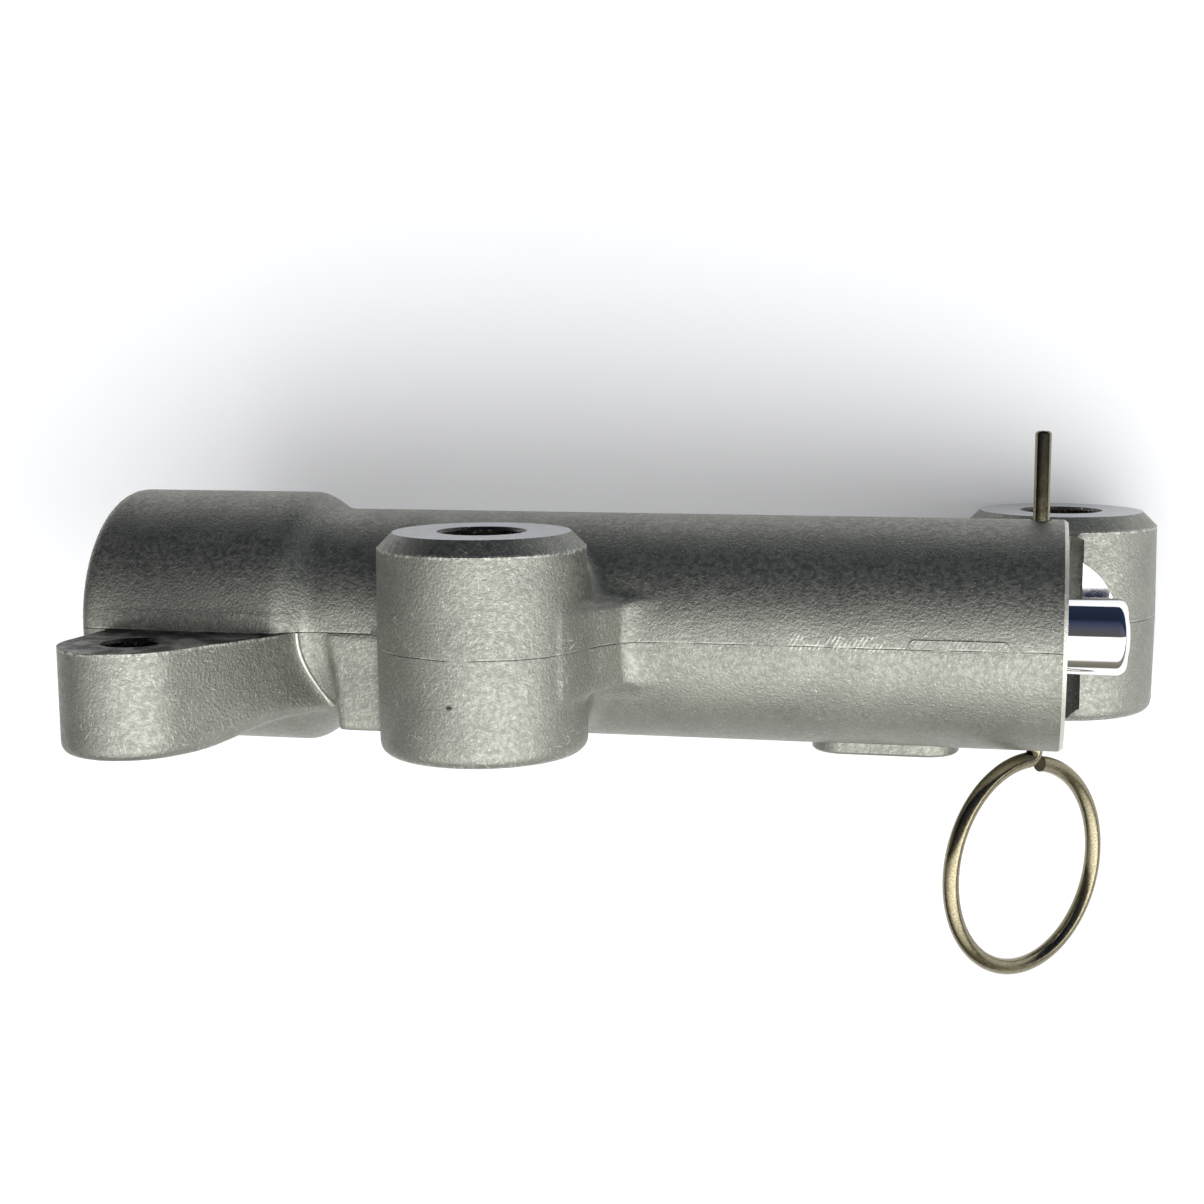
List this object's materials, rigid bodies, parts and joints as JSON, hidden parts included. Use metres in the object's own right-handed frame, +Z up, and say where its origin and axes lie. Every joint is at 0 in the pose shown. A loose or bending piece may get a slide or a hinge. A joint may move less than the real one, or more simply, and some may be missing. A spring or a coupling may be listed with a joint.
{
  "type": "timing belt hydraulic tensioner",
  "caption": "Hydraulic tensioner for an engine timing belt: cast body with bolt bosses and a lug, sprung push rod held back by a pull pin with a finger ring",
  "frame": {"origin": "middle of the underside of the whole part's box, the part lying on its back", "axes": "+X is the way the rod comes out, +Y runs along the bolt holes towards the pin's tip, +Z points up"},
  "size_m": [0.1418, 0.0713, 0.0719],
  "materials": {
    "cast_aluminium": "shot-blasted casting with machined faces",
    "polished_rod": "mirror polished",
    "plated_wire": "plated wire, dark olive sheen",
    "spring_steel": "oiled",
    "pressed_steel": "satin",
    "ground_steel": "ground",
    "bronze": "satin",
    "guide_plastic": "matte",
    "seal_rubber": "matte"
  },
  "bodies": {
    "body": {"housing": "cast_aluminium", "end_plug": "ground_steel", "plug_seal_ring": "seal_rubber", "end_circlip": "spring_steel", "pressure_sleeve": "ground_steel", "rod_guide_bush": "bronze", "seal_case": "pressed_steel", "oil_seal": "seal_rubber", "garter_spring": "spring_steel", "snap_ring": "spring_steel", "return_spring": "spring_steel", "plunger_spring": "spring_steel"},
    "rod": {"push_rod": "polished_rod", "wear_ring": "guide_plastic", "spring_seat": "pressed_steel", "plunger": "ground_steel", "check_valve_seat": "ground_steel", "check_valve_retainer": "pressed_steel", "check_ball_spring": "spring_steel"},
    "ball": {"check_ball": "polished_rod"},
    "pin": {"pull_pin": "plated_wire"}
  },
  "joints": [
    {"name": "pull_pin_slide", "type": "slide", "parent": "body", "child": "pin", "axis": [0, -1, 0], "range_m": [0, 0.045]},
    {"name": "rod_slide", "type": "slide", "parent": "body", "child": "rod", "axis": [1, 0, 0], "range_m": [-0.0004, 0], "deforming": ["return_spring", "plunger_spring"]},
    {"name": "check_ball_lift", "type": "slide", "parent": "rod", "child": "ball", "axis": [-1, 0, 0], "range_m": [0, 0.0008], "deforming": ["check_ball_spring"]}
  ]
}
